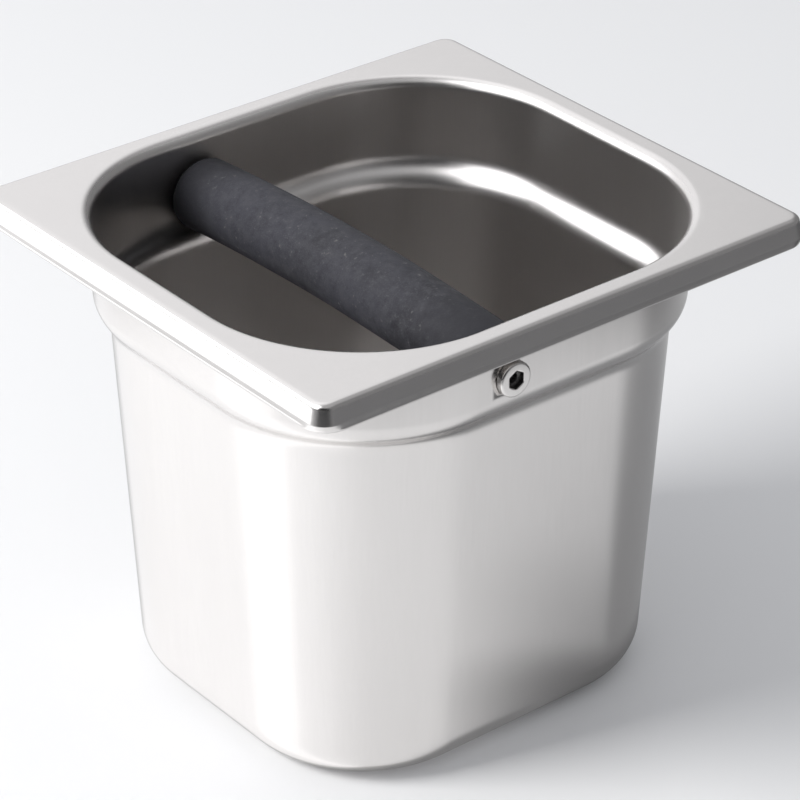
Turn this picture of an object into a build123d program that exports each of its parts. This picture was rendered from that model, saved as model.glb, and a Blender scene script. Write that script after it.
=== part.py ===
from build123d import *
import os
from math import sin, cos, radians

# Espresso knock box: a deep-drawn stainless steel container with a
# rubber-covered knock bar held across its mouth by two socket screws.
# Millimetres.  +Z up, origin on the bench under the middle of the container.
# X is the long side of the rim, Y runs along the knock bar, front is -Y.

# Container (gastronorm sixth size)
RIM_X = 176.0             # overall length of the rim
RIM_Y = 162.0             # overall width of the rim
HEIGHT = 150.0            # bench to the flat of the rim
SHEET = 0.8               # sheet thickness

# Outside of the rim skirt: a sloping band, then a nearly upright lip.
# Columns: height, inset from the overall rim size, corner radius
SKIRT = [
    (HEIGHT, 1.7, 4.5),
    (144.3, 0.3, 5.5),
    (142.0, 0.0, 8.0),
]

# The body is one sheet profile carried round four upright corner axes.
# Profile radii are measured from the corner axis.
AXIS_X = 27.4             # corner axis offset in X
AXIS_Y = 21.4             # corner axis offset in Y
COLLAR_R = 50.7           # outside of the upright collar
ROLL_R = 3.3              # upper face of the bend from collar to flat rim
SHOULDER_Z = 125.2        # where the collar starts to step in
SHOULDER_R = 8.1          # outer face of both bends of the stacking shoulder
SHOULDER_ANGLE = 45.0     # slope of the shoulder, degrees from upright
DRAFT = 3.05              # slope of the lower wall, degrees from upright
BASE_R = 12.0             # outside radius round the base

OUTER_Y = AXIS_Y + COLLAR_R     # outside face of the collar
INNER_Y = OUTER_Y - SHEET       # inside face of the collar

# Knock bar
BAR_X = -16.1             # offset towards -X to leave a wide mouth
BAR_Z = 131.2
ROD_R = 6.0
ROD_CHAMFER = 0.6
SLEEVE_R = 11.25
SLEEVE_BORE_R = ROD_R + 0.05    # radial running clearance on the rod
SLEEVE_HALF = 70.2        # half length of the sleeve
SLEEVE_END_R = 3.0        # rounded end that clears the container's shoulder

# M6 x 12 low head socket screw with a pilot hole under the hexagon
HEAD_R = 5.25
HEAD_H = 2.4
HEAD_EDGE_R = 0.6         # rounded upper edge of the head
HEAD_CHAMFER = 0.2        # lower edge of the head
SCREW_LEN = 12.0
THREAD_R = 3.0
THREAD_ROOT_R = 2.5
PITCH = 1.0
PLAIN_LEN = 1.2           # plain shank under the head
THREAD_RUNOUT = 0.8       # least distance from the last crest to the tip
TIP_CHAMFER = 0.7
HEX_AF = 5.0              # hexagon across flats
HEX_DEPTH = 1.6
PILOT_R = 1.6
PILOT_DEPTH = 3.6         # below the face of the head
DISH_LOW_R = HEX_AF / 2 + 0.1   # conical lead-in to the hexagon
DISH_HIGH_R = HEX_AF / 2 + 0.5
DISH_H = 0.4
DISH_DROP = 0.05          # middle of the cone below the face of the head

# Holes for the screws
WALL_HOLE_R = 3.3         # clearance hole through the collar
TAP_R = THREAD_R + 0.05   # tapped hole, over the thread crests
TAP_DEPTH = 15.0
TAP_TIP_R = 0.05          # small end of the conical hole bottom
TAP_TIP_H = 1.5

CUT_OVER = 1.0            # how far cutting shapes run past a face
ALONG_Y = Rot(90, 0, 0)   # turns +Z to -Y
BAR_AXIS = Pos(BAR_X, 0, BAR_Z)


def line(start, end):
    """Straight edge between two (x, z) points of the XZ plane."""
    return Edge.make_line(Vector(start[0], 0, start[1]), Vector(end[0], 0, end[1]))


def polar(centre, radius, angle):
    """(x, z) point at a radius from centre, angle in degrees below +X."""
    return (centre[0] + radius * cos(radians(angle)),
            centre[1] - radius * sin(radians(angle)))


def bend(centre, radius, start, end):
    """Points at the start, middle and end of an arc.

    A negative radius puts the arc on the opposite side of its centre.
    """
    return [polar(centre, radius, angle) for angle in (start, (start + end) / 2, end)]


def arc(points):
    return Edge.make_three_point_arc(*[Vector(x, 0, z) for x, z in points])


# ---------------------------------------------------------------------------
# Container
# ---------------------------------------------------------------------------
# Bend centres as (radius, height).  The two shoulder bends meet with no
# straight between them; the drafted wall is tangent to the lower one.
upper_centre = (COLLAR_R - SHOULDER_R, SHOULDER_Z)
lower_centre = polar(upper_centre, 2 * SHOULDER_R, SHOULDER_ANGLE)
wall_top = polar(lower_centre, -SHOULDER_R, DRAFT)
wall_foot_z = BASE_R - BASE_R * sin(radians(DRAFT))
wall_len = (wall_top[1] - wall_foot_z) / cos(radians(DRAFT))
base_centre = (
    wall_top[0] - wall_len * sin(radians(DRAFT)) - BASE_R * cos(radians(DRAFT)),
    BASE_R,
)
roll_centre = (COLLAR_R - SHEET + ROLL_R, HEIGHT - ROLL_R)


def skin(inset):
    """Edges of one face of the sheet, inset from the outer face, base to rim."""
    base = bend(base_centre, BASE_R - inset, 90, DRAFT)
    lower = bend(lower_centre, -(SHOULDER_R + inset), DRAFT, SHOULDER_ANGLE)
    upper = bend(upper_centre, SHOULDER_R - inset, SHOULDER_ANGLE, 0)
    roll = bend(roll_centre, -(ROLL_R - SHEET + inset), 0, 90)
    return [
        line((0, inset), base[0]),
        arc(base),
        line(base[-1], lower[0]),
        arc(lower),
        arc(upper),
        line(upper[-1], roll[0]),
        arc(roll),
    ]


def make_body():
    """Floor, walls and collar: four turned corners joined by straight sides."""
    loop = skin(0.0) + skin(SHEET)
    loop.append(line((0, 0), (0, SHEET)))
    loop.append(line((roll_centre[0], HEIGHT - SHEET), (roll_centre[0], HEIGHT)))
    profile = Face(Wire.combine(loop)[0])

    body = Pos(0, 0, SHEET / 2) * Box(2 * AXIS_X, 2 * AXIS_Y, SHEET)
    for k, (sx, sy) in enumerate([(1, 1), (-1, 1), (-1, -1), (1, -1)]):
        corner = revolve(Rot(0, 0, 90 * k) * profile, Axis.Z, 90)
        body = body + Pos(sx * AXIS_X, sy * AXIS_Y, 0) * corner
    for k in range(4):
        offset, half = (AXIS_Y, AXIS_X) if k % 2 else (AXIS_X, AXIS_Y)
        side = Pos(offset, half, 0) * Solid.extrude(profile, Vector(0, -2 * half, 0))
        body = body + Rot(0, 0, 90 * k) * side
    return body


def rounded(z, half_x, half_y, corner_r):
    """Rounded rectangle face at height z."""
    return Plane.XY.offset(z) * RectangleRounded(2 * half_x, 2 * half_y, corner_r)


def skirt_stack(top_z, inset):
    """Solid through the skirt sections, drawn in by inset, with its top at top_z."""
    faces = []
    for z, edge_inset, corner_r in SKIRT:
        total = edge_inset + inset
        faces.append(rounded(min(z, top_z), RIM_X / 2 - total, RIM_Y / 2 - total,
                             corner_r - inset))
    stack = None
    for high, low in zip(faces, faces[1:]):
        piece = loft([high, low], ruled=True)
        stack = piece if stack is None else stack + piece
    return stack


def make_rim():
    """Flat rim and turned-down skirt, hollow underneath."""
    mouth_r = roll_centre[0]
    mouth = extrude(rounded(HEIGHT - 10, AXIS_X + mouth_r, AXIS_Y + mouth_r, mouth_r), 20)
    return skirt_stack(HEIGHT, 0.0) - skirt_stack(HEIGHT - SHEET, SHEET) - mouth


def make_container():
    wall_holes = BAR_AXIS * ALONG_Y * Cylinder(WALL_HOLE_R, 2 * OUTER_Y + 4)
    return make_body() + make_rim() - wall_holes


# ---------------------------------------------------------------------------
# Knock bar
# ---------------------------------------------------------------------------
def make_rod():
    """Steel rod between the collar walls, tapped at both ends."""
    rod = ALONG_Y * Cylinder(ROD_R, 2 * INNER_Y)
    rod = chamfer(rod.edges().filter_by(GeomType.CIRCLE), ROD_CHAMFER)
    for side in (1, -1):
        tap_y = side * (INNER_Y - TAP_DEPTH / 2)
        tip_y = side * (INNER_Y - TAP_DEPTH - TAP_TIP_H / 2)
        tap = Pos(0, tap_y, 0) * ALONG_Y * Cylinder(TAP_R, TAP_DEPTH)
        tip = Pos(0, tip_y, 0) * Rot(side * 90, 0, 0) * Cone(TAP_R, TAP_TIP_R, TAP_TIP_H)
        rod = rod - tap - tip
    return BAR_AXIS * rod


def make_sleeve():
    """Thick rubber tube, free to turn on the rod."""
    sleeve = ALONG_Y * Cylinder(SLEEVE_R, 2 * SLEEVE_HALF)
    sleeve = fillet(sleeve.edges().filter_by(GeomType.CIRCLE), SLEEVE_END_R)
    sleeve = sleeve - ALONG_Y * Cylinder(SLEEVE_BORE_R, 2 * SLEEVE_HALF + 2 * CUT_OVER)
    return BAR_AXIS * sleeve


# ---------------------------------------------------------------------------
# Screws
# ---------------------------------------------------------------------------
def make_screw():
    """Screw along Z, underside of the head at z = 0, head above."""
    crown_centre = (HEAD_R - HEAD_EDGE_R, HEAD_H - HEAD_EDGE_R)
    crown = bend(crown_centre, HEAD_EDGE_R, -90, 0)
    path = [crown[-1], (HEAD_R, HEAD_CHAMFER), (HEAD_R - HEAD_CHAMFER, 0),
            (THREAD_R, 0), (THREAD_R, -PLAIN_LEN)]
    # The thread is modelled as separate ring grooves, one per pitch
    z = -PLAIN_LEN
    while z - PITCH > -(SCREW_LEN - THREAD_RUNOUT):
        path += [(THREAD_ROOT_R, z - PITCH * 0.45),
                 (THREAD_ROOT_R, z - PITCH * 0.55),
                 (THREAD_R, z - PITCH)]
        z -= PITCH
    path += [(THREAD_R, -(SCREW_LEN - TIP_CHAMFER)),
             (THREAD_R - TIP_CHAMFER, -SCREW_LEN),
             (0, -SCREW_LEN)]
    outline = [line(start, end) for start, end in zip(path, path[1:])]
    outline += [arc(crown), line((0, HEAD_H), crown[0]), line((0, -SCREW_LEN), (0, HEAD_H))]
    body = revolve(Face(Wire.combine(outline)[0]), Axis.Z, 360)

    hexagon = RegularPolygon(HEX_AF / 2, 6, major_radius=False, rotation=30)
    socket = extrude(Plane.XY.offset(HEAD_H - HEX_DEPTH) * hexagon, HEX_DEPTH + CUT_OVER)
    pilot = Pos(0, 0, HEAD_H - PILOT_DEPTH / 2) * Cylinder(PILOT_R, PILOT_DEPTH)
    dish = Pos(0, 0, HEAD_H - DISH_DROP) * Cone(DISH_LOW_R, DISH_HIGH_R, DISH_H)
    return body - socket - pilot - dish


def place_screw(side):
    """Screw with its head against the outside of the wall on the given Y side."""
    return Pos(BAR_X, side * OUTER_Y, BAR_Z) * Rot(-side * 90, 0, 0) * make_screw()


PARTS = {
    "container": make_container(),
    "bar_rod": make_rod(),
    "bar_sleeve": make_sleeve(),
    "screw_front": place_screw(-1),
    "screw_rear": place_screw(1),
}
os.makedirs("parts", exist_ok=True)
for name, shape in PARTS.items():
    shape.label = name
    export_step(shape, os.path.join("parts", name + ".step"))
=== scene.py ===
import math

import bmesh
import bpy
import numpy as np
from mathutils import Matrix, Vector


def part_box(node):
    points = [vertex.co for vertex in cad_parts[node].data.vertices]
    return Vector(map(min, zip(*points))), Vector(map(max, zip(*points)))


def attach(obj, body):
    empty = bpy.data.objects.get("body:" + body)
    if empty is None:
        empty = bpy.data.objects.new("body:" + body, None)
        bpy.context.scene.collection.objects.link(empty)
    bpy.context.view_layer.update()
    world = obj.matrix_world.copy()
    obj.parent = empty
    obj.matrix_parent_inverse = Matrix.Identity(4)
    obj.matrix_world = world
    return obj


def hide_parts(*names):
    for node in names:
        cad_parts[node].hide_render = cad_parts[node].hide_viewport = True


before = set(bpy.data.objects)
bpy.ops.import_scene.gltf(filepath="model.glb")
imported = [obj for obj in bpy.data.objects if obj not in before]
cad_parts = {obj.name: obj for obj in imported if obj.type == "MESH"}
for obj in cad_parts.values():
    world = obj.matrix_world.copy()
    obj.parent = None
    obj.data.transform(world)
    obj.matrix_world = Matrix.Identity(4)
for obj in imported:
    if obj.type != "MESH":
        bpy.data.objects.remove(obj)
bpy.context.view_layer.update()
SCENE = bpy.context.scene
MM = 0.001                                  # lengths are in mm until a mesh is made

# ---------------------------------------------------------------------------
# sizes and places from the CAD model
# ---------------------------------------------------------------------------
box_lo, box_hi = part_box("container")
rod_lo, rod_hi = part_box("bar_rod")
tube_lo, tube_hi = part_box("bar_sleeve")
HALF_X = (box_hi.x - box_lo.x) / 2 / MM
HALF_Y = (box_hi.y - box_lo.y) / 2 / MM
HEIGHT = box_hi.z / MM
BAR_X = (rod_lo.x + rod_hi.x) / 2 / MM
BAR_Z = (rod_lo.z + rod_hi.z) / 2 / MM
ROD_R = (rod_hi.x - rod_lo.x) / 2 / MM
INNER_Y = rod_hi.y / MM                     # inside of the collar wall
SLEEVE_R = (tube_hi.x - tube_lo.x) / 2 / MM
SLEEVE_HALF = (tube_hi.y - tube_lo.y) / 2 / MM

# body of the container
SHEET = 0.8                                 # sheet thickness
OUTER_Y = INNER_Y + SHEET
COLLAR_R, ROLL_R = 50.7, 3.3                # collar corner, and the roll out to the rim
AXIS_X, AXIS_Y = 27.4, OUTER_Y - COLLAR_R   # corner axes of the drawn body
SHOULDER_Z, SHOULDER_R, SHOULDER_ANGLE = 125.2, 8.1, 45.0
DRAFT, BASE_R = 3.05, 12.0                  # wall draft in degrees, base edge radius
CELLS_X, CELLS_Y = 12, 10                   # grid of the middle rectangle
HOLE_R = 3.3                                # punched screw holes
# angles of the columns round a corner, closest in the middle
CORNER_ANGLES = np.concatenate([
    np.arange(0, 33, 3.0), np.arange(33, 38.9, 1.5), np.arange(39, 50.1, 0.6),
    np.arange(51, 57.1, 1.5), np.arange(60, 90.1, 3.0)])

# rim and skirt
RIM_X, RIM_Y = HALF_X - 1.7, HALF_Y - 1.7   # where rim plane and skirt plane meet
KINK_DROP, KINK_OUT = 5.7, 1.4              # upper part of the skirt: drop and spread
LIP_DROP, LIP_OUT = 2.3, 0.3                # the same for the part below the kink
LIP_Z = 142.0
LIP_OUTER_R, LIP_INNER_R = 0.62, 0.15       # rounding of the cut edge
BEND_R, BEND_INNER_R = 2.0, 0.5             # bend from rim to skirt
RIM_CORNER, RIM_CORNER_UNDER = 3.4, 3.2     # corner radii of the flat rim


# ---------------------------------------------------------------------------
# mesh helpers
# ---------------------------------------------------------------------------
def new_object(name, verts, faces):
    """Smooth-shaded object from points in mm."""
    mesh = bpy.data.meshes.new(name)
    mesh.from_pydata([tuple(v) for v in np.asarray(verts, float) * MM], [], faces)
    mesh.validate()
    bm = bmesh.new()
    bm.from_mesh(mesh)
    bmesh.ops.recalc_face_normals(bm, faces=bm.faces)
    for face in bm.faces:
        face.smooth = True
    bm.to_mesh(mesh)
    bm.free()
    ob = bpy.data.objects.new(name, mesh)
    SCENE.collection.objects.link(ob)
    return ob


def ring_faces(rows, columns, closed=False):
    """Quads between successive rings; closed joins the last ring to the first."""
    faces = []
    for i in range(rows if closed else rows - 1):
        here, there = i * columns, (i + 1) % rows * columns
        for j in range(columns):
            k = (j + 1) % columns
            faces.append((here + j, here + k, there + k, there + j))
    return faces


def arc(centre, radius, start, end, steps):
    """steps + 1 points, angle from the outward horizontal, positive downwards."""
    return [(centre[0] + radius * math.cos(math.radians(angle)),
             centre[1] - radius * math.sin(math.radians(angle)))
            for angle in np.linspace(start, end, steps + 1)]


def straight(start, end, steps, ease):
    """Points between start and end without the ends, with one extra point near each end."""
    length = math.dist(start, end)
    near = min(ease, length / 3) / length
    marks = sorted({near, 1 - near} | set(np.linspace(0, 1, steps + 1)[1:-1]))
    return [(start[0] + (end[0] - start[0]) * m, start[1] + (end[1] - start[1]) * m)
            for m in marks]


# ---------------------------------------------------------------------------
# container: one sheet profile carried round the body
# ---------------------------------------------------------------------------
ROLL_CENTRE = (COLLAR_R - SHEET + ROLL_R, HEIGHT - ROLL_R)


def body_profile(offset):
    """Radius from the corner axis against height, base to rim; offset is the distance of
    the face from the outside of the sheet."""
    shoulder, draft = math.radians(SHOULDER_ANGLE), math.radians(DRAFT)
    high_centre = (COLLAR_R - SHOULDER_R, SHOULDER_Z)
    low_centre = (high_centre[0] + 2 * SHOULDER_R * math.cos(shoulder),
                  high_centre[1] - 2 * SHOULDER_R * math.sin(shoulder))
    wall_length = (low_centre[1] + SHOULDER_R * math.sin(draft)
                   - (BASE_R - BASE_R * math.sin(draft))) / math.cos(draft)
    base_centre = (low_centre[0] - SHOULDER_R * math.cos(draft)
                   - wall_length * math.sin(draft) - BASE_R * math.cos(draft), BASE_R)

    base = arc(base_centre, BASE_R - offset, 90, DRAFT, steps=16)
    low = arc(low_centre, SHOULDER_R + offset, 180 + DRAFT, 180 + SHOULDER_ANGLE, steps=12)
    high = arc(high_centre, SHOULDER_R - offset, SHOULDER_ANGLE, 0, steps=12)
    roll = arc(ROLL_CENTRE, ROLL_R - SHEET + offset, 180, 270, steps=14)
    return (straight((0, offset), base[0], steps=7, ease=0.35) + base
            + straight(base[-1], low[0], steps=22, ease=0.8) + low
            + high[1:] + straight(high[-1], roll[0], steps=6, ease=0.5) + roll)


def skirt(z):
    """Spread and corner radius of the skirt's outer face at a height."""
    drop = HEIGHT - z
    if drop < KINK_DROP:
        return KINK_OUT * drop / KINK_DROP, 4.5 + 1.0 * drop / KINK_DROP
    past = (drop - KINK_DROP) / LIP_DROP
    return KINK_OUT + LIP_OUT * past, 5.5 + 2.5 * past


BEND_END = math.pi / 2 - math.atan2(KINK_OUT, KINK_DROP)    # angle the bend turns through
BEND_START_OUT = -BEND_R * math.tan(BEND_END / 2)
UNDER_OUT = KINK_OUT * SHEET / KINK_DROP - SHEET
UNDER_START_OUT = UNDER_OUT - BEND_INNER_R * math.tan(BEND_END / 2)


def skirt_outline():
    """Spread, corner radius and height from the rim edge down the outside, round the cut
    edge and up the inside to the underside of the rim."""
    rows = []
    end_corner = skirt(HEIGHT - BEND_R + BEND_R * math.cos(BEND_END))[1]
    for angle in np.linspace(0, BEND_END, 9):
        rows.append((BEND_START_OUT + BEND_R * math.sin(angle),
                     RIM_CORNER + (end_corner - RIM_CORNER) * angle / BEND_END,
                     HEIGHT - BEND_R + BEND_R * math.cos(angle)))
    for z in (148.0, 147.4, 146.8, 146.2, 145.6, 145.1, 144.8,
              144.5, 144.3, 144.1, 143.7, 143.25, 142.9):
        rows.append((*skirt(z), z))

    # cut edge: a wide rounding outside, a small one inside
    out, corner = skirt(LIP_Z)
    outer_angles = np.linspace(0, math.pi / 2, 7)
    inner_angles = np.linspace(math.pi / 2, math.pi, 4)[1:]
    for angles, inset, radius in ((outer_angles, LIP_OUTER_R, LIP_OUTER_R),
                                  (inner_angles, SHEET - LIP_INNER_R, LIP_INNER_R)):
        for angle in angles:
            shift = radius * math.cos(angle) - inset
            rows.append((out + shift, corner + shift, LIP_Z + radius - radius * math.sin(angle)))

    for z in (142.6, 143.2, 143.7, 144.1, 144.4, 144.8,
              145.3, 145.7, 145.9, 146.6, 147.6, 148.2):
        out, corner = skirt(z)
        rows.append((out - SHEET, max(corner - SHEET, 0.8), z))
    for angle in np.linspace(BEND_END, 0, 5):
        rows.append((UNDER_START_OUT + BEND_INNER_R * math.sin(angle),
                     RIM_CORNER_UNDER + 0.6 * angle / BEND_END,
                     HEIGHT - SHEET - BEND_INNER_R + BEND_INNER_R * math.cos(angle)))
    return rows


# An outline gives the distance from a column's base point for its direction and side.
def circle(radius):
    return lambda direction, side: radius


def rectangle(spread, corner):
    """Rounded rectangle, a spread outside the rim's meeting line."""
    def outline(direction, side):
        a, b = RIM_X + spread - AXIS_X, RIM_Y + spread - AXIS_Y
        if side % 2:
            a, b = b, a
        dx, dy = direction
        if dx > 1e-9 and a / dx * dy <= b - corner:
            return a / dx
        if dy > 1e-9 and b / dy * dx <= a - corner:
            return b / dy
        px, py = a - corner, b - corner
        along = dx * px + dy * py
        return along + math.sqrt(max(along * along - px * px - py * py + corner * corner, 0.0))
    return outline


def blend(radius, outer, share):
    """Between a circle and an outer outline."""
    return lambda direction, side: (1 - share) * radius + share * outer(direction, side)


def turn(side, x, y):
    """Quarter turns from the +x side to the given side."""
    for _ in range(side):
        x, y = -y, x
    return x, y


def container_columns():
    """Base point, outward direction and side; the first two as if the side faced +x."""
    columns = []
    for side in range(4):
        half_x, half_y = (AXIS_Y, AXIS_X) if side % 2 else (AXIS_X, AXIS_Y)
        cells = CELLS_X if side % 2 else CELLS_Y
        for j in range(1, cells):
            columns.append(((half_x, -half_y + 2 * half_y * j / cells), (1.0, 0.0), side))
        for angle in CORNER_ANGLES:
            direction = (math.cos(math.radians(angle)), math.sin(math.radians(angle)))
            columns.append(((half_x, half_y), direction, side))
    return columns


def add_middle(verts, faces, columns, first, z, faces_up):
    """Middle rectangle of the base, joined to the ring that starts at vertex first."""
    grid = {}
    for i in range(CELLS_X + 1):
        for j in range(CELLS_Y + 1):
            grid[i, j] = len(verts)
            verts.append((-AXIS_X + 2 * AXIS_X * i / CELLS_X,
                          -AXIS_Y + 2 * AXIS_Y * j / CELLS_Y, z))
    border = []
    for base, _, side in columns:
        x, y = turn(side, *base)
        border.append(grid[round((x + AXIS_X) / (2 * AXIS_X) * CELLS_X),
                           round((y + AXIS_Y) / (2 * AXIS_Y) * CELLS_Y)])
    for i in range(CELLS_X):
        for j in range(CELLS_Y):
            quad = (grid[i, j], grid[i + 1, j], grid[i + 1, j + 1], grid[i, j + 1])
            faces.append(quad if faces_up else quad[::-1])
    for j in range(len(columns)):
        k = (j + 1) % len(columns)
        p, q, a, b = border[j], border[k], first + j, first + k
        faces.append((p, q, b, a) if p != q else (p, b, a))


def container_mesh():
    # outlines and heights: outside of the body, under the rim, round the skirt, over the
    # rim and down the inside
    under_edge = rectangle(UNDER_START_OUT, RIM_CORNER_UNDER)
    rim_edge = rectangle(BEND_START_OUT, RIM_CORNER)
    rings = [(circle(r), z) for r, z in body_profile(0.0)]
    rings += [(blend(ROLL_CENTRE[0], under_edge, share), HEIGHT - SHEET)
              for share in (0.06, 0.3, 0.6, 0.93)]
    rings += [(rectangle(out, corner), z) for out, corner, z in reversed(skirt_outline())]
    rings += [(blend(ROLL_CENTRE[0], rim_edge, share), HEIGHT)
              for share in (0.95, 0.8, 0.6, 0.4, 0.2, 0.05)]
    rings += [(circle(r), z) for r, z in reversed(body_profile(SHEET))]

    columns = container_columns()
    verts = []
    for outline, z in rings:
        for base, direction, side in columns:
            reach = outline(direction, side)
            verts.append((*turn(side, base[0] + direction[0] * reach,
                                base[1] + direction[1] * reach), z))
    faces = ring_faces(len(rings), len(columns))
    last = (len(rings) - 1) * len(columns)
    add_middle(verts, faces, columns, first=0, z=0.0, faces_up=False)
    add_middle(verts, faces, columns, first=last, z=SHEET, faces_up=True)
    return verts, faces


def punch_holes(ob):
    """Screw holes through both collar walls, cut with one long cylinder."""
    mesh = bpy.data.meshes.new("cut")
    bm = bmesh.new()
    bmesh.ops.create_cone(
        bm, cap_ends=True, segments=64, radius1=HOLE_R * MM, radius2=HOLE_R * MM,
        depth=(2 * OUTER_Y + 6) * MM,
        matrix=Matrix.Translation((BAR_X * MM, 0, BAR_Z * MM))
        @ Matrix.Rotation(math.pi / 2, 4, "X"))
    bm.to_mesh(mesh)
    bm.free()
    cutter = bpy.data.objects.new("cutter", mesh)
    SCENE.collection.objects.link(cutter)
    mod = ob.modifiers.new("holes", "BOOLEAN")
    mod.operation, mod.solver, mod.object = "DIFFERENCE", "EXACT", cutter
    depsgraph = bpy.context.evaluated_depsgraph_get()
    punched = bpy.data.meshes.new_from_object(ob.evaluated_get(depsgraph))
    ob.modifiers.clear()
    ob.data = punched
    bpy.data.objects.remove(cutter)
    for face in ob.data.polygons:
        face.use_smooth = True


container = new_object("container_shell", *container_mesh())
punch_holes(container)


# ---------------------------------------------------------------------------
# sleeve: thick rubber tube, a little bowed outside, with rounded ends
# ---------------------------------------------------------------------------
BOW = 2.5                                   # rise of the middle of the tube
BOW_X, BOW_Z = 0.35, 0.937                  # direction of the rise
UNEVEN = 0.12                               # slow unevenness of a cut length of hose
SLEEVE_END_R = 2.7
SLEEVE_BORE = ROD_R + 0.25
SLEEVE_SEGMENTS = 144


def sleeve_ring(y, radius, bow, uneven):
    s = y / SLEEVE_HALF
    lift = bow * (1 - s * s)
    ring = []
    for k in range(SLEEVE_SEGMENTS):
        a = 2 * math.pi * k / SLEEVE_SEGMENTS
        r = radius + uneven * (
            0.5 * math.sin(2 * a + 0.9 + 2.1 * s) + 0.3 * math.sin(3 * a - 4.0 * s + 1.7)
            + 0.35 * math.sin(5.3 * s + a + 0.4) + 0.2 * math.sin(9.7 * s - 2 * a))
        ring.append((BAR_X + r * math.cos(a) + lift * BOW_X, y,
                     BAR_Z + r * math.sin(a) + lift * BOW_Z))
    return ring


def sleeve_mesh():
    # outside, from -y to +y: y, radius, unevenness
    flat_half = SLEEVE_HALF - SLEEVE_END_R
    end = []
    for angle in np.radians(np.linspace(0, 90, 11)):
        end.append((-flat_half - SLEEVE_END_R * math.cos(angle),
                    SLEEVE_R - SLEEVE_END_R + SLEEVE_END_R * math.sin(angle),
                    UNEVEN * math.sin(angle)))
    outside = end + [(s * flat_half, SLEEVE_R, UNEVEN) for s in np.linspace(-1, 1, 76)[1:-1]]
    outside += [(-y, r, uneven) for y, r, uneven in reversed(end)]

    # bore, from +y back to -y: y, radius
    mouth = [(SLEEVE_HALF, SLEEVE_BORE + 0.4),
             (SLEEVE_HALF - 0.1, SLEEVE_BORE + 0.12),
             (SLEEVE_HALF - 0.4, SLEEVE_BORE)]
    bore = mouth + [(s * SLEEVE_HALF, SLEEVE_BORE) for s in np.linspace(0.97, -0.97, 9)]
    bore += [(-y, r) for y, r in reversed(mouth)]

    rings = [sleeve_ring(y, r, BOW, uneven) for y, r, uneven in outside]
    rings += [sleeve_ring(y, r, 0.0, 0.0) for y, r in bore]
    verts = [point for ring in rings for point in ring]
    return verts, ring_faces(len(rings), SLEEVE_SEGMENTS, closed=True)


sleeve = new_object("rubber_sleeve", *sleeve_mesh())


# ---------------------------------------------------------------------------
# screws: button head with a hexagon socket, and a helical thread
# ---------------------------------------------------------------------------
SCREW_SEGMENTS = 96
HEAD_TOP, HEAD_R = 2.4, 5.25
DOME_R = 4.6                                # where the dome meets the rounded edge
EDGE_BASE = 1.8                             # height where the rounded edge ends
ACROSS_FLATS, SOCKET_DEPTH = 5.0, 1.6
SHANK_R, THREAD_DEPTH, PITCH = 2.95, 0.47, 1.0
THREAD_START, THREAD_TURNS, STEPS_PER_TURN = -0.3, 11, 8


def screw_ring(radius_at, height):
    """Ring whose radius is a function of the angle."""
    ring = []
    for k in range(SCREW_SEGMENTS):
        a = 2 * math.pi * k / SCREW_SEGMENTS
        r = radius_at(a)
        ring.append((r * math.cos(a), r * math.sin(a), height))
    return ring


def hexagon(across_flats, share=1.0, circle_r=0.0):
    """Hexagon with slightly blunt corners, its share mixed with a circle."""
    def radius_at(a):
        from_flat = (a + math.pi / 6) % (math.pi / 3) - math.pi / 6
        r = min(across_flats / 2 / math.cos(from_flat),
                across_flats / 2 / math.cos(math.pi / 6) * 0.985)
        return r * share + circle_r * (1 - share)
    return radius_at


def thread(height):
    """Helical groove that fades in below the head and out before the tip."""
    fade_in = min(1.0, max(0.0, (-height - 0.9) / 0.6))
    fade_out = min(1.0, max(0.0, (11.4 + height) / 0.5))

    def radius_at(a):
        phase = (height / PITCH - a / (2 * math.pi)) % 1.0
        slope = abs(phase - 0.5) * 2
        groove = THREAD_DEPTH * min(1.0, max(0.0, slope * 1.25 - 0.12))
        return SHANK_R - groove * fade_in * fade_out
    return radius_at


def dome(radius):
    return HEAD_TOP - (radius - 3.0) ** 2 * 0.012


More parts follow.
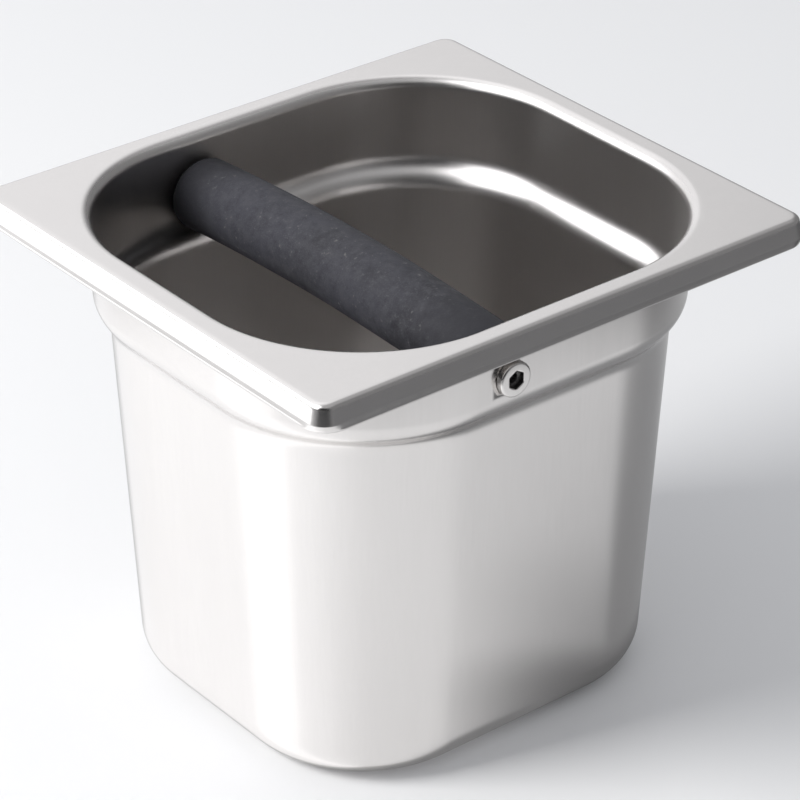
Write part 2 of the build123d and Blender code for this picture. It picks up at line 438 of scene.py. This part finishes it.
def screw_rings():
    floor = HEAD_TOP - SOCKET_DEPTH
    rings = []

    def circles(stations):
        for r, height in stations:
            rings.append(screw_ring(lambda a: r, height))

    def hexagons(stations):
        for scale, height in stations:
            rings.append(screw_ring(hexagon(ACROSS_FLATS * scale), height))

    # pilot hole and socket from the bottom up: radius, height
    circles([(0.02, HEAD_TOP - 3.6), (1.35, HEAD_TOP - 3.4), (1.5, HEAD_TOP - 3.2),
             (1.6, HEAD_TOP - 2.9), (1.6, floor - 0.15), (1.72, floor - 0.02)])
    rings.append(screw_ring(hexagon(ACROSS_FLATS * 0.95, share=0.8, circle_r=2.2), floor))
    # scale of the hexagon, height; the last four are its lead-in
    hexagons([(0.995, floor + 0.06), (1.0, floor + 0.2), (1.0, HEAD_TOP - 0.5),
              (1.0, HEAD_TOP - 0.2), (1.01, HEAD_TOP - 0.1), (1.035, HEAD_TOP - 0.03),
              (1.07, HEAD_TOP)])
    # dome, rounded edge, side and underside of the head
    circles([(3.05, HEAD_TOP)])
    circles([(r, dome(r)) for r in (3.3, 3.7, 4.1, 4.45, DOME_R)])
    circles([(DOME_R + (HEAD_R - DOME_R) * math.sin(a),
              EDGE_BASE + (dome(DOME_R) - EDGE_BASE) * math.cos(a))
             for a in np.linspace(0, math.pi / 2, 9)[1:]])
    circles([(HEAD_R, height) for height in (1.3, 0.8, 0.4)])
    circles([(HEAD_R - 0.22 * (1 - math.cos(a)), 0.3 - 0.28 * math.sin(a))
             for a in np.linspace(0, math.pi / 2, 4)[1:]])
    circles([(4.4, 0.02), (3.3, 0.02), (3.05, 0.0), (2.96, -0.12)])
    # thread and tip
    for height in np.linspace(THREAD_START, THREAD_START - THREAD_TURNS * PITCH,
                              THREAD_TURNS * STEPS_PER_TURN + 1):
        rings.append(screw_ring(thread(height), height))
    circles([(2.75, -11.6), (2.3, -11.98), (2.1, -12.0), (1.0, -12.0), (0.02, -12.0)])
    return rings


def screw_mesh(side):
    """Screw in the collar wall; side is -1 for the wall at -y and 1 for the one at +y."""
    rings = screw_rings()
    verts = [(BAR_X + x, side * (OUTER_Y + height), BAR_Z + z)
             for ring in rings for x, z, height in ring]
    faces = ring_faces(len(rings), SCREW_SEGMENTS)
    faces.append(tuple(range(SCREW_SEGMENTS)))
    faces.append(tuple(range(len(verts) - SCREW_SEGMENTS, len(verts))))
    return verts, faces


screws = {part: new_object(part + "_socket_head", *screw_mesh(side))
          for part, side in (("screw_front", -1), ("screw_rear", 1))}


# ---------------------------------------------------------------------------
# shader helper
# ---------------------------------------------------------------------------
class Shader:
    """Emptied node tree with an output and one surface node; methods add nodes."""

    def __init__(self, tree, output, surface):
        self.tree = tree
        tree.nodes.clear()
        end = self.add(output)
        self.surface = self.add(surface)
        tree.links.new(self.surface.outputs[0], end.inputs["Surface"])

    def add(self, kind):
        return self.tree.nodes.new(kind)

    def feed(self, socket, value):
        """Link a socket, or set a number, vector or colour."""
        if isinstance(value, bpy.types.NodeSocket):
            self.tree.links.new(value, socket)
        elif isinstance(value, tuple) and socket.type == "RGBA":
            socket.default_value = (*value, 1.0)
        else:
            socket.default_value = value

    def set(self, name, value):
        self.feed(self.surface.inputs[name], value)

    def coordinates(self, kind):
        return self.add("ShaderNodeTexCoord").outputs[kind]

    def glossy_ray(self):
        return self.add("ShaderNodeLightPath").outputs["Is Glossy Ray"]

    def split(self, vector):
        node = self.add("ShaderNodeSeparateXYZ")
        self.feed(node.inputs[0], vector)
        return tuple(node.outputs)

    def scaled(self, vector, scale):
        node = self.add("ShaderNodeMapping")
        self.feed(node.inputs["Scale"], scale)
        self.feed(node.inputs["Vector"], vector)
        return node.outputs["Vector"]

    def noise(self, vector, scale, detail=3.0, rough=0.5):
        node = self.add("ShaderNodeTexNoise")
        for name, value in (("Scale", scale), ("Detail", detail), ("Roughness", rough),
                            ("Vector", vector)):
            self.feed(node.inputs[name], value)
        return node.outputs["Fac"]

    def remap(self, value, span, to=(0.0, 1.0), kind="LINEAR"):
        """Carry the span onto the to range, clamped."""
        node = self.add("ShaderNodeMapRange")
        node.interpolation_type = kind
        names = ("From Min", "From Max", "To Min", "To Max", "Value")
        for name, item in zip(names, (*span, *to, value)):
            self.feed(node.inputs[name], item)
        return node.outputs["Result"]

    def smooth(self, value, span, to=(0.0, 1.0)):
        return self.remap(value, span, to, kind="SMOOTHSTEP")

    def math(self, operation, *values):
        node = self.add("ShaderNodeMath")
        node.operation = operation
        for socket, value in zip(node.inputs, values):
            self.feed(socket, value)
        return node.outputs[0]

    def fold(self, operation, first, *others):
        for other in others:
            first = self.math(operation, first, other)
        return first

    def plus(self, *terms):
        return self.fold("ADD", *terms)

    def times(self, *factors):
        return self.fold("MULTIPLY", *factors)

    def most(self, *values):
        return self.fold("MAXIMUM", *values)

    def vector(self, operation, *values):
        node = self.add("ShaderNodeVectorMath")
        node.operation = operation
        for socket, value in zip(node.inputs, values):
            self.feed(socket, value)
        return node.outputs["Value" if operation in ("DOT_PRODUCT", "LENGTH") else "Vector"]

    def level(self, vector, sign=1.0):
        """Horizontal unit vector along the vector, or against it."""
        flat = self.vector("MULTIPLY", vector, (sign, sign, 0.0))
        return self.vector("NORMALIZE", flat)

    def facing(self, vector, direction, span, to=(0.0, 1.0)):
        """Smooth lobe round a direction; the span is in cosines."""
        cosine = self.vector("DOT_PRODUCT", vector, tuple(Vector(direction).normalized()))
        return self.smooth(cosine, span, to)

    def mix(self, base, layer, amount):
        node = self.add("ShaderNodeMix")
        node.data_type = "RGBA"
        for index, value in ((0, amount), (6, base), (7, layer)):
            self.feed(node.inputs[index], value)
        return node.outputs[2]

    def bump(self, height, strength, distance, normal=None):
        node = self.add("ShaderNodeBump")
        self.feed(node.inputs["Strength"], strength)
        self.feed(node.inputs["Distance"], distance)
        self.feed(node.inputs["Height"], height)
        if normal is not None:
            self.feed(node.inputs["Normal"], normal)
        return node.outputs["Normal"]


def material(name):
    mat = bpy.data.materials.new(name)
    mat.use_nodes = True
    return mat, Shader(mat.node_tree, "ShaderNodeOutputMaterial", "ShaderNodeBsdfPrincipled")


# ---------------------------------------------------------------------------
# materials
# ---------------------------------------------------------------------------
def socket_mask(sh, place):
    """1 inside the hexagon socket of either screw, 0 elsewhere."""
    x, y, z = sh.split(place)
    dx = sh.math("SUBTRACT", x, BAR_X * MM)
    dz = sh.math("SUBTRACT", z, BAR_Z * MM)
    radius = sh.math("SQRT", sh.plus(sh.times(dx, dx), sh.times(dz, dz)))
    near_axis = sh.smooth(radius, span=(0.00294, 0.00302), to=(1.0, 0.0))
    below_top = sh.smooth(sh.math("ABSOLUTE", y),
                          span=((OUTER_Y + 2.36) * MM, (OUTER_Y + 2.27) * MM))
    off_shank = sh.smooth(sh.math("ABSOLUTE", y), to=(1.0, 0.0),
                          span=((OUTER_Y - 1.2) * MM, (OUTER_Y - 1.35) * MM))
    return sh.times(near_axis, below_top, off_shank)


def steel(name, tint, rough, lines=1.0, inside=0.0, socket=False):
    """Polished steel. lines scales the relief, inside is extra roughness on faces that look
    inwards, socket paints shade into the screw sockets."""
    mat, sh = material(name)
    place = sh.coordinates("Object")
    sh.set("Metallic", 1.0)
    # faint marks of drawing and polishing run along z
    fine = sh.noise(sh.scaled(place, (1.0, 1.0, 0.02)), scale=1500.0, rough=0.55)
    broad = sh.noise(sh.scaled(place, (1.0, 1.0, 0.04)), scale=210.0, detail=2.0)
    cloud = sh.noise(place, scale=30.0)
    faint = tuple(c * 0.982 for c in tint)
    darker = tuple(c * 0.955 for c in tint)
    colour = sh.mix(faint, tint, amount=sh.remap(broad, span=(0.3, 0.7)))
    colour = sh.mix(colour, darker, amount=sh.remap(cloud, span=(0.35, 0.75), to=(0.0, 0.3)))
    colour = sh.mix(colour, darker, amount=sh.remap(fine, span=(0.35, 0.7), to=(0.0, 0.5)))
    roughness = sh.plus(
        sh.remap(broad, span=(0.3, 0.7), to=(rough - 0.012, rough + 0.012)),
        sh.remap(fine, span=(0.3, 0.7), to=(-0.008, 0.008)),
        sh.remap(cloud, span=(0.3, 0.7), to=(-0.012, 0.018)))
    if inside:
        # the inside is left duller than the outside
        coords = sh.add("ShaderNodeTexCoord").outputs
        turned = sh.vector("DOT_PRODUCT", coords["Normal"], sh.level(coords["Object"]))
        roughness = sh.plus(roughness, sh.smooth(turned, span=(-0.35, -0.75), to=(0.0, inside)))
    if socket:
        # painted shade: near-black inside of the hexagon socket, broken by a little grain
        hole = socket_mask(sh, place)
        grain = sh.noise(place, scale=3000.0, detail=2.0, rough=0.6)
        socket_shade = sh.remap(grain, span=(0.3, 0.7), to=(0.6, 1.0))
        colour = sh.mix(colour, (0.012, 0.012, 0.012), amount=sh.times(hole, socket_shade))
        roughness = sh.plus(roughness, sh.times(hole, 0.3))
    sh.set("Base Color", colour)
    sh.set("Roughness", roughness)
    normal = sh.bump(fine, strength=0.03 * lines, distance=0.00002)
    normal = sh.bump(broad, strength=0.03 * lines, distance=0.00006, normal=normal)
    sh.set("Normal", normal)
    return mat


def rubber(name):
    """Dusty matt rubber, with painted shade towards the ends of the sleeve."""
    mat, sh = material(name)
    place = sh.coordinates("Object")
    grain = sh.noise(place, scale=2400.0, rough=0.65)
    speck = sh.noise(place, scale=640.0, detail=2.0, rough=0.7)
    patch = sh.noise(sh.scaled(place, (1.0, 0.55, 1.0)), scale=85.0, detail=5.0, rough=0.62)
    broad = sh.noise(place, scale=24.0, detail=2.0)
    mottle = sh.noise(place, scale=320.0, detail=4.0, rough=0.68)
    colour = sh.mix((0.019, 0.019, 0.023), (0.050, 0.050, 0.058),
                    amount=sh.remap(patch, span=(0.38, 0.62)))
    # clouds and mottling, then dusty specks and rubbed spots: pattern, span, strength, colour
    for pattern, span, strength, tone in (
            (broad, (0.42, 0.62), 0.55, (0.040, 0.041, 0.052)),
            (mottle, (0.46, 0.66), 0.5, (0.062, 0.062, 0.070)),
            (mottle, (0.44, 0.30), 0.5, (0.018, 0.018, 0.022)),
            (speck, (0.655, 0.76), 0.75, (0.13, 0.128, 0.126)),
            (grain, (0.52, 0.75), 0.42, (0.09, 0.09, 0.097))):
        colour = sh.mix(colour, tone, amount=sh.remap(pattern, span=span, to=(0.0, strength)))

    # painted shade towards both ends, where the tube meets the collar walls, deepest at the far
    # end, and darker beyond a ragged line near the front end: distance along the tube in metres,
    # span, strength, colour
    y = sh.split(place)[1]

    def ragged(distance, spread):
        return sh.plus(distance, sh.times(sh.math("SUBTRACT", patch, 0.5), spread))

    both_ends = sh.math("ABSOLUTE", ragged(y, spread=0.03))
    front_end = ragged(sh.times(y, -1.0), spread=0.02)
    for distance, span, strength, tone in (
            (both_ends, (0.043, 0.063), 0.82, (0.019, 0.019, 0.023)),
            (y, (0.050, 0.0675), 0.8, (0.010, 0.010, 0.013)),
            (front_end, (0.0405, 0.0435), 0.38, (0.016, 0.016, 0.019))):
        colour = sh.mix(colour, tone, amount=sh.smooth(distance, span=span, to=(0.0, strength)))
    sh.set("Base Color", colour)
    sh.set("Roughness", sh.remap(patch, span=(0.3, 0.7), to=(0.66, 0.86)))
    sh.set("Specular IOR Level", 0.35)
    normal = sh.bump(grain, strength=0.4, distance=0.00012)
    normal = sh.bump(speck, strength=0.35, distance=0.00022, normal=normal)
    normal = sh.bump(patch, strength=0.3, distance=0.0005, normal=normal)
    sh.set("Normal", normal)
    return mat


STEEL = steel("drawn_stainless", tint=(0.648, 0.632, 0.62), rough=0.2, inside=0.11)
ROD = steel("turned_bright_steel", tint=(0.6, 0.59, 0.58), rough=0.22)
SCREW = steel("screw_stainless", tint=(0.68, 0.665, 0.65), rough=0.2, lines=0.8, socket=True)
RUBBER = rubber("matt_rubber")

# object, material, node it rides on, CAD piece it replaces, slot
PIECES = [(container, STEEL, "box", "container", "container_steel"),
          (sleeve, RUBBER, "sleeve", "bar_sleeve", "sleeve_rubber")]
PIECES += [(ob, SCREW, "box", part, "screw_steel") for part, ob in screws.items()]

for ob, mat, *_ in PIECES:
    ob.data.materials.clear()
    ob.data.materials.append(mat)
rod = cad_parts["bar_rod"]
for slot in rod.material_slots:
    slot.material = ROD
if not rod.material_slots:
    rod.data.materials.append(ROD)

for ob, _, carrier, part, slot_name in PIECES:
    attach(ob, carrier)
    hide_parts(part)

# ---------------------------------------------------------------------------
# studio: white sheet on a table, bright wall behind, window low on the left,
# dark room on the camera side; left and right as the camera sees them
# ---------------------------------------------------------------------------
RIGHT, FRONT = (0.778, -0.629, 0.0), (-0.629, -0.778, 0.0)
BLACK = (0.0, 0.0, 0.0)


def floor_material():
    """Pale sheet; its painted shade and its glowing, painted sheen show only in reflections.
    Distances in metres.
    """
    mat, sh = material("pale_floor")
    place = sh.coordinates("Object")
    mirror = sh.glossy_ray()
    paper = sh.mix((0.80, 0.805, 0.82), (0.815, 0.82, 0.83),
                   amount=sh.noise(place, scale=3.0, detail=2.0))
    # painted shade, seen only in reflections: the sheet turns dark grey on the right and on the
    # camera side, standing in for a dark room
    painted_room_shade = sh.most(
        sh.smooth(sh.vector("DOT_PRODUCT", place, RIGHT), span=(0.28, 0.40)),
        sh.smooth(sh.vector("DOT_PRODUCT", place, FRONT), span=(0.34, 0.55)))
    paper = sh.mix(paper, (0.21, 0.21, 0.215), amount=sh.times(painted_room_shade, 0.9, mirror))

    outward = sh.vector("NORMALIZE", place)
    away = sh.vector("LENGTH", place)
    incoming = sh.add("ShaderNodeNewGeometry").outputs["Incoming"]
    heading = sh.level(incoming, sign=-1.0)
    # less light on the right, in a wide lobe and closer under the body
    wide = sh.times(sh.facing(outward, RIGHT, span=(0.62, 1.04)),
                    sh.smooth(away, span=(0.108, 0.16), to=(0.42, 0.10)))
    under = sh.times(sh.facing(outward, RIGHT, span=(0.36, 1.0)),
                     sh.smooth(away, span=(0.078, 0.110), to=(0.85, 0.0)))
    heading_right = sh.facing(heading, (0.94, 0.342, 0.0), span=(0.40, 0.70), to=(0.0, 0.62))
    shade = sh.times(sh.most(wide, under, heading_right), mirror)
    paper = sh.mix(paper, BLACK, amount=sh.times(shade, 0.7))
    # painted shade, seen only in reflections: a darker belt at middle distance
    belt = sh.times(sh.smooth(away, span=(0.28, 0.36), to=(0.0, 0.36)),
                    sh.smooth(away, span=(0.48, 0.62), to=(1.0, 0.0)))
    paper = sh.mix(paper, BLACK, amount=sh.times(belt, mirror))
    sh.set("Base Color", paper)
    sh.set("Roughness", 0.5)
    sh.set("Specular IOR Level", 0.2)

    # painted sheen: the sheet glows in reflections towards the window, and far behind on the
    # left
    sheen = sh.plus(
        sh.facing(heading, (-0.866, 0.50, 0.0), span=(0.0, 0.95), to=(0.20, 0.42)),
        sh.facing(heading, (-0.883, 0.469, 0.0), span=(0.895, 0.945), to=(0.0, 0.24)))
    sheen = sh.times(sheen, sh.smooth(away, span=(0.29, 0.37), to=(1.0, 0.15)),
                     sh.math("SUBTRACT", 1.0, shade))
    far = sh.times(sh.smooth(away, span=(0.60, 0.9), to=(0.0, 1.2)),
                   sh.facing(outward, (-0.64, 0.77, 0.0), span=(0.80, 0.94)))
    lit = sh.smooth(painted_room_shade, span=(0.0, 1.0), to=(1.0, 0.0))
    sh.set("Emission Color", (0.99, 0.99, 1.0))
    sh.set("Emission Strength", sh.times(sh.plus(sheen, far), lit, mirror))
    return mat


def build_world():
    """Room seen in reflections; every other ray gets an even light."""
    world = bpy.data.worlds.new("studio")
    SCENE.world = world
    world.use_nodes = True
    world.cycles.sampling_method = "NONE"
    sh = Shader(world.node_tree, "ShaderNodeOutputWorld", "ShaderNodeBackground")
    ray = sh.coordinates("Generated")
    mirror = sh.glossy_ray()
    height = sh.split(ray)[2]
    wall = sh.facing(ray, (-0.1, 0.85, 0.5), span=(0.42, 0.88), to=(0.0, 0.97))
    pane = sh.times(sh.smooth(height, span=(0.10, 0.24)),
                    sh.smooth(height, span=(0.60, 0.72), to=(1.0, 0.0)))
    window = sh.times(pane, sh.facing(sh.level(ray), (-0.92, 0.39, 0.0),
                                      span=(0.74, 0.86), to=(0.0, 2.6)))
    room = sh.facing(ray, (-0.75, -0.65, 0.0), span=(0.5, 0.85), to=(0.28, 0.04))
    high_left = sh.facing(ray, (-0.609, 0.132, 0.782), span=(0.90, 0.975), to=(0.0, 2.6))
    ceiling = sh.smooth(height, span=(0.58, 0.82), to=(0.0, 0.26))
    seen = sh.plus(wall, window, room, high_left, ceiling)
    even = sh.times(sh.math("SUBTRACT", 1.0, mirror), 0.64)
    sh.set("Strength", sh.plus(sh.times(seen, mirror), even))
    sh.set("Color", sh.mix((0.965, 0.975, 1.0), (0.98, 0.98, 1.0), amount=mirror))


def add_softbox(name, location, target, size, power, colour):
    """Square area light that reflections don't show."""
    light = bpy.data.lights.new(name, "AREA")
    light.shape = "RECTANGLE"
    light.size = light.size_y = size
    light.energy = power
    light.color = colour
    ob = bpy.data.objects.new(name, light)
    SCENE.collection.objects.link(ob)
    ob.location = location
    ob.rotation_mode = "QUATERNION"
    aim = Vector(target) - Vector(location)
    ob.rotation_quaternion = aim.to_track_quat("-Z", "Y")
    ob.visible_glossy = False


def add_camera(azimuth, elevation, roll, distance, shift_right, shift_up, lens):
    """Camera round the container's mid-height; angles in degrees, azimuth from -y."""
    azimuth, elevation, roll = map(math.radians, (azimuth, elevation, roll))
    back = Vector((math.sin(azimuth) * math.cos(elevation),
                   -math.cos(azimuth) * math.cos(elevation), math.sin(elevation)))
    right = Vector((math.cos(azimuth), math.sin(azimuth), 0.0))
    up = back.cross(right)
    right, up = (math.cos(roll) * right + math.sin(roll) * up,
                 -math.sin(roll) * right + math.cos(roll) * up)
    data = bpy.data.cameras.new("camera")
    camera = bpy.data.objects.new("camera", data)
    SCENE.collection.objects.link(camera)
    data.sensor_width = 36.0
    data.lens = lens
    data.clip_start, data.clip_end = 0.01, 50.0
    centre = Vector((0, 0, (box_lo.z + box_hi.z) / 2))
    camera.location = centre + right * shift_right + up * shift_up + back * distance
    camera.rotation_mode = "QUATERNION"
    camera.rotation_quaternion = Matrix((right, up, back)).transposed().to_quaternion()
    SCENE.camera = camera


bpy.ops.mesh.primitive_plane_add(size=8.0, location=(0, 0, -0.0002))
floor = bpy.context.object
floor.name = "studio_floor"
PAPER = floor_material()
floor.data.materials.append(PAPER)
PAPER.cycles.emission_sampling = "NONE"

build_world()
add_softbox("key_softbox", location=(-1.30, 0.53, 1.13), target=(0, 0, 0.05),
            size=0.72, power=28.0, colour=(1.0, 0.99, 0.97))
add_camera(azimuth=-38.95, elevation=30.11, roll=0.13, distance=1.03622,
           shift_right=0.00286, shift_up=0.00907, lens=158.4234)

SCENE.cycles.max_bounces = 16
SCENE.cycles.glossy_bounces = 12
SCENE.view_settings.view_transform = "Standard"
SCENE.view_settings.look = "None"
